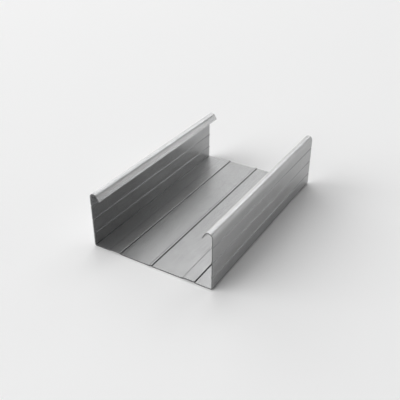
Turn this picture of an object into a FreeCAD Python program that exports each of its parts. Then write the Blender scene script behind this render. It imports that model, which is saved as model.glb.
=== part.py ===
"""Short length of a roll-formed ceiling channel, in millimetres.

One strip of thin galvanized sheet is bent into a shallow C. The flat web lies on Z = 0 with the open side
up, and the channel runs along Y. A narrow ridge stands in the middle of the web, with a broader raised pad
on each side of it. Each flange has three shallow beads pressed inward, and its top edge is curled over into
a lip that points back down into the channel. The origin is the centre of the underside.
"""
import FreeCAD, Part
import math
import os

import Sketcher

# Driving dimensions

DIMENSIONS = {
    "overall_width": 60.0,
    "overall_height": 27.0,
    "piece_length": 100.0,
    "sheet_thickness": 0.5,
    # Inside radius of the bend between web and flange
    "corner_radius": 0.4,
    # The crest is the flat top of the ridge, measured on the underside between its two bends
    "ridge_height": 0.45,
    "ridge_crest": 0.4,
    # Inside radius of the small bends of the ridge and the pads
    "step_radius": 0.1,
    # A pad's steps are measured at the point of the underside where their two bends meet
    "pad_start": 16.2,
    "pad_width": 5.2,
    "pad_height": 0.45,
    # The beads are spread evenly about the middle of the flange's height
    "bead_depth": 0.25,
    "bead_spacing": 7.2,
    "bead_radius": 0.15,
    "lip_radius": 1.55,
    # Angle of the lip's straight leg below the horizontal
    "lip_slope": 60.0,
    "lip_leg": 2.4,
}
BEADS_PER_FLANGE = 3

# The sketcher's numbers for the points of a line or an arc, and for the sketch's origin and axes

START, END, CENTRE = 1, 2, 3
ORIGIN = (-1, START)
HORIZONTAL_AXIS, VERTICAL_AXIS = -1, -2


def make_dimension_sheet(doc):
    sheet = doc.addObject("Spreadsheet::Sheet", "Dimensions")
    for row, (alias, value) in enumerate(DIMENSIONS.items(), start=1):
        sheet.set(f"A{row}", alias)
        sheet.set(f"B{row}", str(value))
        sheet.setAlias(f"B{row}", alias)
    doc.recompute()
    return sheet


class SheetSection:
    """One half of the section, drawn as the outer and the inner face of a bent sheet.

    The walk follows the outer face from the middle of the web to the end of the lip. Each flat is a pair of
    lines and each bend a pair of arcs about one centre, with the inner face a sheet thickness to the left of
    the outer one.
    """

    def __init__(self, sketch, start_height):
        self.sketch = sketch
        self.point = FreeCAD.Vector(0, start_height, 0)
        self.heading = 0.0
        self.outer = []
        self.inner = []
        self.constraints = []
        self.expressions = {}

    def constrain(self, *description):
        self.constraints.append(Sketcher.Constraint(*description))

    def bind(self, name, expression, *description):
        """Adds a dimension that follows the sheet of dimensions."""
        self.constrain(*description)
        self.constraints[-1].Name = name
        self.expressions[name] = expression

    def left(self):
        return FreeCAD.Vector(-math.sin(self.heading), math.cos(self.heading), 0)

    def add_pair(self, outer, inner, first, last):
        """Adds both faces of a flat or a bend, each joined smoothly to the one before it."""
        for face, curve in ((self.outer, outer), (self.inner, inner)):
            geometry = self.sketch.addGeometry(curve, False)
            if face:
                previous = face[-1]
                self.constrain("Tangent", previous[0], previous[2], geometry, first)
            face.append((geometry, first, last))
        return self.outer[-1][0], self.inner[-1][0]

    def flat(self, length):
        forward = FreeCAD.Vector(math.cos(self.heading), math.sin(self.heading), 0)
        end = self.point + forward * length
        across = self.left() * DIMENSIONS["sheet_thickness"]
        outer, inner = self.add_pair(
            Part.LineSegment(self.point, end),
            Part.LineSegment(self.point + across, end + across),
            START,
            END,
        )
        self.constrain("Parallel", outer, inner)
        self.point = end
        return outer

    def level_flat_to(self, x):
        outer = self.flat(x - self.point.x)
        self.constrain("Horizontal", outer)
        return outer

    def upright_flat_to(self, height):
        outer = self.flat(height - self.point.y)
        self.constrain("Vertical", outer)
        return outer

    def bend(self, turn, radius_alias):
        """Turns left by a positive angle or right by a negative one, in radians."""
        inside = DIMENSIONS[radius_alias]
        outside = inside + DIMENSIONS["sheet_thickness"]
        inside_expression = f"Dimensions.{radius_alias}"
        outside_expression = f"{inside_expression} + Dimensions.sheet_thickness"
        side = math.copysign(1, turn)
        if side > 0:
            radii = (outside, inside)
            expression = outside_expression
        else:
            radii = (inside, outside)
            expression = inside_expression
        centre = self.point + self.left() * (side * radii[0])
        begin = self.heading - side * math.pi / 2
        low, high = sorted((begin, begin + turn))
        circles = [Part.Circle(centre, FreeCAD.Vector(0, 0, 1), radius) for radius in radii]
        first, last = (START, END) if side > 0 else (END, START)
        arcs = [Part.ArcOfCircle(circle, low, high) for circle in circles]
        outer, inner = self.add_pair(*arcs, first, last)
        self.constrain("Coincident", outer, CENTRE, inner, CENTRE)
        self.bind(f"radius_{outer}", expression, "Radius", outer, radii[0])
        self.heading += turn
        self.point = centre - self.left() * (side * radii[0])
        return outer

    def join_faces(self, outer_point, inner_point):
        start = self.sketch.getPoint(*outer_point)
        end = self.sketch.getPoint(*inner_point)
        cap = self.sketch.addGeometry(Part.LineSegment(start, end), False)
        self.constrain("Coincident", cap, START, *outer_point)
        self.constrain("Coincident", cap, END, *inner_point)
        return cap

    def close(self):
        """Closes the outline on the middle of the web, and square across the sheet's free edge."""
        outer_flat, _, outer_end = self.outer[-1]
        inner_flat, _, inner_end = self.inner[-1]
        edge = self.join_faces((outer_flat, outer_end), (inner_flat, inner_end))
        self.constrain("Perpendicular", edge, outer_flat)
        thickness = DIMENSIONS["sheet_thickness"]
        self.bind("sheet_thickness", "Dimensions.sheet_thickness", "Distance", edge, thickness)
        outer_flat, outer_start, _ = self.outer[0]
        inner_flat, inner_start, _ = self.inner[0]
        middle = self.join_faces((outer_flat, outer_start), (inner_flat, inner_start))
        self.constrain("PointOnObject", middle, END, VERTICAL_AXIS)
        self.sketch.addConstraint(self.constraints)
        for name, expression in self.expressions.items():
            self.sketch.setExpression(f"Constraints.{name}", expression)


def bend_angle(depth, inside_radius):
    """Angle of two opposite bends that together shift the sheet sideways by the depth."""
    return math.acos(1 - depth / (2 * inside_radius + DIMENSIONS["sheet_thickness"]))


def draw_half_section(sketch):
    size = DIMENSIONS
    half_width = size["overall_width"] / 2
    thickness = size["sheet_thickness"]
    step_outside = size["step_radius"] + thickness
    section = SheetSection(sketch, size["ridge_height"])

    # Ridge in the middle of the web

    ridge_turn = bend_angle(size["ridge_height"], size["step_radius"])
    half_crest = size["ridge_crest"] / 2
    crest = section.level_flat_to(half_crest)
    section.constrain("PointOnObject", crest, START, VERTICAL_AXIS)
    section.bind("ridge_crest", "Dimensions.ridge_crest / 2", "DistanceX", *ORIGIN, crest, END, half_crest)
    section.bind(
        "ridge_height",
        "Dimensions.ridge_height",
        "DistanceY", *ORIGIN, crest, END, size["ridge_height"],
    )
    section.bend(-ridge_turn, "step_radius")
    section.bend(ridge_turn, "step_radius")

    # Web with its raised pad

    pad_turn = bend_angle(size["pad_height"], size["step_radius"])
    pad_end = size["pad_start"] + size["pad_width"]
    web_flat = section.level_flat_to(size["pad_start"] - step_outside * math.sin(pad_turn))
    section.constrain("PointOnObject", web_flat, END, HORIZONTAL_AXIS)
    step_up = section.bend(pad_turn, "step_radius")
    section.bind("pad_start", "Dimensions.pad_start", "DistanceX", *ORIGIN, step_up, END, size["pad_start"])
    section.bend(-pad_turn, "step_radius")
    pad_flat = section.level_flat_to(pad_end - size["step_radius"] * math.sin(pad_turn))
    section.bind(
        "pad_height",
        "Dimensions.pad_height",
        "DistanceY", *ORIGIN, pad_flat, END, size["pad_height"],
    )
    step_down = section.bend(-pad_turn, "step_radius")
    section.bind(
        "pad_end",
        "Dimensions.pad_start + Dimensions.pad_width",
        "DistanceX", *ORIGIN, step_down, START, pad_end,
    )
    section.bend(pad_turn, "step_radius")
    web_edge = section.level_flat_to(half_width - size["corner_radius"] - thickness)
    section.constrain("PointOnObject", web_edge, END, HORIZONTAL_AXIS)
    section.bend(math.pi / 2, "corner_radius")

    # Flange with its beads

    bead_turn = bend_angle(size["bead_depth"], size["bead_radius"])
    bead_half_run = (2 * size["bead_radius"] + thickness) * math.sin(bead_turn)
    crown_x = half_width - size["bead_depth"] + size["bead_radius"]
    for number in range(BEADS_PER_FLANGE):
        steps_up = number - (BEADS_PER_FLANGE - 1) / 2
        height = size["overall_height"] / 2 + steps_up * size["bead_spacing"]
        flange_flat = section.upright_flat_to(height - bead_half_run)
        section.bind(
            f"flange_{number}",
            "Dimensions.overall_width / 2",
            "DistanceX", *ORIGIN, flange_flat, END, half_width,
        )
        section.bend(bead_turn, "bead_radius")
        crown = section.bend(-2 * bead_turn, "bead_radius")
        section.bind(
            f"bead_depth_{number}",
            "Dimensions.overall_width / 2 - Dimensions.bead_depth + Dimensions.bead_radius",
            "DistanceX", *ORIGIN, crown, CENTRE, crown_x,
        )
        section.bind(
            f"bead_height_{number}",
            f"Dimensions.overall_height / 2 + {steps_up} * Dimensions.bead_spacing",
            "DistanceY", *ORIGIN, crown, CENTRE, height,
        )
        section.bend(bead_turn, "bead_radius")

    # Curled lip

    lip_centre = size["overall_height"] - size["lip_radius"] - thickness
    lip_turn = math.radians(size["lip_slope"] + 90)
    flange_top = section.upright_flat_to(lip_centre)
    section.bind(
        "flange_top",
        "Dimensions.overall_width / 2",
        "DistanceX", *ORIGIN, flange_top, END, half_width,
    )
    curl = section.bend(lip_turn, "lip_radius")
    section.bind(
        "overall_height",
        "Dimensions.overall_height - Dimensions.lip_radius - Dimensions.sheet_thickness",
        "DistanceY", *ORIGIN, curl, CENTRE, lip_centre,
    )
    section.bind("lip_turn", "Dimensions.lip_slope + 90", "Angle", curl, lip_turn)
    leg = section.flat(size["lip_leg"])
    section.bind("lip_leg", "Dimensions.lip_leg", "Distance", leg, size["lip_leg"])
    section.close()


def origin_plane(body, role):
    return next(plane for plane in body.Origin.OriginFeatures if plane.Role == role)


def make_channel(doc):
    body = doc.addObject("PartDesign::Body", "Channel")
    body.Label = "ceiling_channel"
    sketch = body.newObject("Sketcher::SketchObject", "HalfSection")
    sketch.AttachmentSupport = [(origin_plane(body, "XZ_Plane"), "")]
    sketch.MapMode = "FlatFace"
    doc.recompute()
    draw_half_section(sketch)
    doc.recompute()
    if not sketch.FullyConstrained:
        raise RuntimeError("the half section has free points")
    pad = body.newObject("PartDesign::Pad", "Half")
    pad.Profile = sketch
    pad.SideType = "Symmetric"
    pad.setExpression("Length", "Dimensions.piece_length")
    doc.recompute()
    whole = body.newObject("PartDesign::Mirrored", "Whole")
    whole.Originals = [pad]
    whole.MirrorPlane = (origin_plane(body, "YZ_Plane"), [""])
    body.Tip = whole
    return body


def main():
    doc = FreeCAD.newDocument("CeilingChannel")
    make_dimension_sheet(doc)
    bodies = [make_channel(doc)]
    doc.recompute()
    for item in doc.Objects:
        if {"Invalid", "Error"} & set(item.State):
            raise RuntimeError(f"{item.Name} failed to build: {item.State}")
    for body in bodies:
        if body.Shape.isNull() or not body.Shape.isValid() or len(body.Shape.Solids) != 1:
            raise RuntimeError(f"{body.Label} is not one valid solid")
    os.makedirs("parts", exist_ok=True)
    for body in bodies:
        body.Shape.exportStep(f"parts/{body.Label}.step")


main()
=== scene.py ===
"""Looks of a short length of galvanized ceiling channel, in metres.

The channel keeps its CAD shape and gets a zinc surface here.
It rests on a plain pale floor in soft studio light.
"""

import math

import bpy
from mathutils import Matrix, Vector

NODE = "ceiling_channel"

# Each direction here is a compass turn, from +Y towards +X, and an angle above the floor, in degrees.
# A light's level of 1 is white.

# Camera at the photograph's viewpoint

CAMERA_PLACE = Vector((0.1195, -0.2092, 0.15435))
CAMERA_TURN = -30.90
CAMERA_ANGLE = -31.52
CAMERA_LENS = 53.2
CAMERA_SENSOR = 36.0
CAMERA_CLIP_START = 0.01
CAMERA_CLIP_END = 50.0

# Floor

FLOOR_HALF_SIDE = 6.0
FLOOR_COLOUR = (0.92, 0.92, 0.92)

# The room is a soft dome, bright towards one turn and dim on the other side. How far a direction points
# towards the bright side is measured from -1 to 1.

BRIGHT_TURN = 300.0
BRIGHT_LEVEL = 0.78
DIM_LEVEL = 0.08
BRIGHT_SPAN = (0.0, 0.6)

# Along the horizon the room is evenly pale. The span is the rise of a direction of length 1 over which
# that passes into the dome.

HORIZON_LEVEL = 0.53
HORIZON_SPAN = (0.24, 0.40)

# Softboxes face the part: turn, angle, width, height and level

SOFTBOX_DISTANCE = 4.0
SOFTBOXES = {
    "key": (222.0, 27.0, 4.4, 3.2, 2.9),
    "low_left": (305.0, 18.0, 3.0, 1.4, 2.35),
    "back_left": (350.0, 38.0, 1.4, 1.0, 1.75),
    "back_right": (11.0, 40.0, 1.4, 1.0, 3.4),
    "back_top": (329.0, 54.0, 1.8, 1.2, 2.6),
    "low_right": (38.0, 15.0, 1.4, 0.84, 2.1),
    "top": (0.0, 85.0, 2.6, 2.6, 0.65),
}

# Zinc, a hair bluer than grey, from three noises: fine crystals, long marks of the rolls along Y, and
# slow clouding. Scales are per metre. The crystals' noise is turned, in radians, so that no flat face
# of the channel lies along its grid.

ZINC_COLOUR = (0.43, 0.432, 0.434)
CRYSTAL_SCALE = 14000.0
CRYSTAL_TURN = (0.5, 0.7, 0.3)
CRYSTAL_DETAIL = 2.0
STREAK_SCALE = (1400.0, 70.0, 1400.0)
CLOUD_SCALE = 160.0
SOFT_DETAIL = 3.0

# Part of each noise that is spread over its whole effect

CRYSTAL_SPAN = (0.44, 0.56)
SOFT_SPAN = (0.3, 0.7)

# Effects of the noises on tone, roughness and relief

STREAK_TONE = (0.97, 1.03)
CLOUD_TONE = (0.96, 1.04)
CRYSTAL_ROUGHNESS = (0.22, 0.56)
STREAK_ROUGHNESS = (-0.03, 0.03)
STREAK_RELIEF = 0.5
RELIEF_STRENGTH = 0.5
RELIEF_DEPTH = 0.000002

# Tight bends get painted shade: their colour is darkened to stand in for the shade and dull reflection in
# the creases. A bend is where the surface is neither level nor upright, so that the larger of its normal's
# x and z drops through a span, and it lies below the lip. The painted shade on the web's bends, low down,
# is darker than on the flanges' beads. Heights are in metres.

FLAT_SPAN = (0.94, 0.999)
# Tones of the painted crease shade, on the web's bends and on the flanges' beads
CREASE_SHADE_TONE = (0.22, 0.66)
BEND_HEIGHTS = (0.0015, 0.003)
BENDS_END = (0.0222, 0.0226)

# Sheared ends, which a span of the normal's y picks out, are darker. The curled lip is duller and gets a
# painted highlight, a lighter colour.

END_SPAN = (0.6, 0.9)
END_TONE = 0.45
LIP_HEIGHTS = (0.0235, 0.0255)
# Painted highlight: the lip's colour is made lighter by this factor
LIP_PAINTED_HIGHLIGHT = 1.18
LIP_ROUGHNESS = 0.08


def direction(turn, angle):
    turn = math.radians(turn)
    angle = math.radians(angle)
    return Vector((math.sin(turn) * math.cos(angle), math.cos(turn) * math.cos(angle), math.sin(angle)))


def add_object(name, data):
    thing = bpy.data.objects.new(name, data)
    bpy.context.scene.collection.objects.link(thing)
    return thing


def aim(thing, forward):
    thing.rotation_mode = "QUATERNION"
    thing.rotation_quaternion = forward.to_track_quat("-Z", "Y")


def make_camera():
    data = bpy.data.cameras.new("camera")
    data.lens = CAMERA_LENS
    data.sensor_width = CAMERA_SENSOR
    data.clip_start = CAMERA_CLIP_START
    data.clip_end = CAMERA_CLIP_END
    camera = add_object("camera", data)
    camera.location = CAMERA_PLACE
    aim(camera, direction(CAMERA_TURN, CAMERA_ANGLE))
    bpy.context.scene.camera = camera


def make_softbox(name, turn, angle, width, height, level):
    data = bpy.data.lights.new(name, "AREA")
    data.shape = "RECTANGLE"
    data.size = width
    data.size_y = height
    # The face's brightness is its power over its area and pi
    data.energy = level * width * height * math.pi
    light = add_object(name, data)
    light.location = direction(turn, angle) * SOFTBOX_DISTANCE
    aim(light, -direction(turn, angle))
    light.visible_camera = False


class Nodes:
    """Short calls for building a node tree."""

    def __init__(self, tree):
        self.tree = tree
        tree.nodes.clear()

    def add(self, kind, settings=None, **inputs):
        """New node. An underscore in an input's name stands for a space."""
        node = self.tree.nodes.new(kind)
        for name, value in (settings or {}).items():
            setattr(node, name, value)
        for name, value in inputs.items():
            self.set(node, name.replace("_", " "), value)
        return node

    def set(self, node, name, value):
        """Link or set an input, which is given by its name or its number."""
        socket = node.inputs[name]
        if isinstance(value, bpy.types.NodeSocket):
            self.tree.links.new(value, socket)
        else:
            socket.default_value = value

    def math(self, operation, *values):
        node = self.add("ShaderNodeMath", {"operation": operation})
        for index, value in enumerate(values):
            self.set(node, index, value)
        return node.outputs[0]

    def chain(self, operation, first, *others):
        """One operation over any number of values."""
        for other in others:
            first = self.math(operation, first, other)
        return first

    def mix(self, factor, first, second):
        node = self.add("ShaderNodeMix", {"data_type": "FLOAT"}, Factor=factor, A=first, B=second)
        return node.outputs["Result"]

    def remap(self, value, span, result):
        """Value with span stretched or squeezed to result, and held at its ends."""
        node = self.add("ShaderNodeMapRange", {"clamp": True}, Value=value, From_Min=span[0],
                        From_Max=span[1], To_Min=result[0], To_Max=result[1])
        return node.outputs["Result"]

    def separate(self, vector):
        return self.add("ShaderNodeSeparateXYZ", Vector=vector).outputs

    def noise(self, vector, scale, detail):
        return self.add("ShaderNodeTexNoise", Vector=vector, Scale=scale, Detail=detail).outputs["Fac"]


def make_material(name):
    material = bpy.data.materials.new(name)
    material.use_nodes = True
    return material, Nodes(material.node_tree)


def make_floor():
    side = FLOOR_HALF_SIDE
    corners = [(-side, -side, 0), (side, -side, 0), (side, side, 0), (-side, side, 0)]
    mesh = bpy.data.meshes.new("floor")
    mesh.from_pydata(corners, [], [(0, 1, 2, 3)])
    floor = add_object("floor", mesh)
    material, nodes = make_material("floor_paint")
    shader = nodes.add("ShaderNodeBsdfDiffuse", Color=(*FLOOR_COLOUR, 1.0))
    nodes.add("ShaderNodeOutputMaterial", Surface=shader.outputs[0])
    mesh.materials.append(material)


def make_room():
    world = bpy.data.worlds.new("studio")
    bpy.context.scene.world = world
    world.use_nodes = True
    nodes = Nodes(world.node_tree)
    looking = nodes.add("ShaderNodeTexCoord").outputs["Generated"]
    towards_bright = nodes.add("ShaderNodeVectorMath", {"operation": "DOT_PRODUCT"})
    nodes.set(towards_bright, 0, looking)
    nodes.set(towards_bright, 1, direction(BRIGHT_TURN, 0.0))
    dome = nodes.remap(towards_bright.outputs["Value"], BRIGHT_SPAN, (DIM_LEVEL, BRIGHT_LEVEL))
    above_horizon = nodes.remap(nodes.separate(looking)["Z"], HORIZON_SPAN, (0.0, 1.0))
    level = nodes.mix(above_horizon, HORIZON_LEVEL, dome)
    background = nodes.add("ShaderNodeBackground", Color=(1.0, 1.0, 1.0, 1.0), Strength=level)
    nodes.add("ShaderNodeOutputWorld", Surface=background.outputs[0])


def make_zinc():
    material, nodes = make_material("galvanized_steel_zinc")
    place = nodes.add("ShaderNodeTexCoord").outputs
    point = place["Object"]
    height = nodes.separate(point)["Z"]
    facing_x, facing_y, facing_z = (
        nodes.math("ABSOLUTE", share) for share in nodes.separate(place["Normal"]))

    turned = nodes.add("ShaderNodeMapping", Vector=point, Rotation=CRYSTAL_TURN).outputs["Vector"]
    stretched = nodes.add("ShaderNodeMapping", Vector=point, Scale=STREAK_SCALE).outputs["Vector"]
    crystals = nodes.noise(turned, CRYSTAL_SCALE, CRYSTAL_DETAIL)
    streaks = nodes.noise(stretched, 1.0, SOFT_DETAIL)
    clouds = nodes.noise(point, CLOUD_SCALE, SOFT_DETAIL)

    # Share of each special place, from 0 to 1
    end = nodes.remap(facing_y, END_SPAN, (0.0, 1.0))
    lip = nodes.remap(height, LIP_HEIGHTS, (0.0, 1.0))
    # Painted shade: tight bends below the lip are darkened in colour, except on the sheared ends
    painted_crease_shade = nodes.chain(
        "MULTIPLY",
        nodes.remap(nodes.math("MAXIMUM", facing_x, facing_z), FLAT_SPAN, (1.0, 0.0)),
        nodes.remap(height, BENDS_END, (1.0, 0.0)),
        nodes.math("SUBTRACT", 1.0, end),
    )

    tone = nodes.chain(
        "MULTIPLY",
        nodes.remap(streaks, SOFT_SPAN, STREAK_TONE),
        nodes.remap(clouds, SOFT_SPAN, CLOUD_TONE),
        nodes.mix(painted_crease_shade, 1.0, nodes.remap(height, BEND_HEIGHTS, CREASE_SHADE_TONE)),
        nodes.remap(end, (0.0, 1.0), (1.0, END_TONE)),
        # Painted highlight: lighter colour on the curled lip
        nodes.remap(lip, (0.0, 1.0), (1.0, LIP_PAINTED_HIGHLIGHT)),
    )
    roughness = nodes.chain(
        "ADD",
        nodes.remap(crystals, CRYSTAL_SPAN, CRYSTAL_ROUGHNESS),
        nodes.remap(streaks, SOFT_SPAN, STREAK_ROUGHNESS),
        nodes.remap(lip, (0.0, 1.0), (0.0, LIP_ROUGHNESS)),
    )
    relief = nodes.math("ADD", crystals, nodes.math("MULTIPLY", streaks, STREAK_RELIEF))

    colour = nodes.add("ShaderNodeVectorMath", {"operation": "SCALE"}, Scale=tone)
    nodes.set(colour, 0, ZINC_COLOUR)
    bump = nodes.add("ShaderNodeBump", Strength=RELIEF_STRENGTH, Distance=RELIEF_DEPTH, Height=relief)
    shader = nodes.add("ShaderNodeBsdfPrincipled", Base_Color=colour.outputs[0], Metallic=1.0,
                       Roughness=roughness, Normal=bump.outputs["Normal"])
    nodes.add("ShaderNodeOutputMaterial", Surface=shader.outputs[0])
    return material


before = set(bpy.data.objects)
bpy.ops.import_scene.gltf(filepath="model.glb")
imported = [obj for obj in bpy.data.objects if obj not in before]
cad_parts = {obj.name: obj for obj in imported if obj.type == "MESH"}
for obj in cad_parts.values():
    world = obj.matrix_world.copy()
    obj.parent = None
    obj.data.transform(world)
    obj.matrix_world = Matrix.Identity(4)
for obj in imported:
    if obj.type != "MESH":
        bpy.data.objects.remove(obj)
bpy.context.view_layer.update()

make_camera()
make_room()
for softbox_name, numbers in SOFTBOXES.items():
    make_softbox(softbox_name, *numbers)
make_floor()

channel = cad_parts[NODE]
channel.material_slots[0].material = make_zinc()

bpy.context.scene.view_settings.view_transform = "Standard"
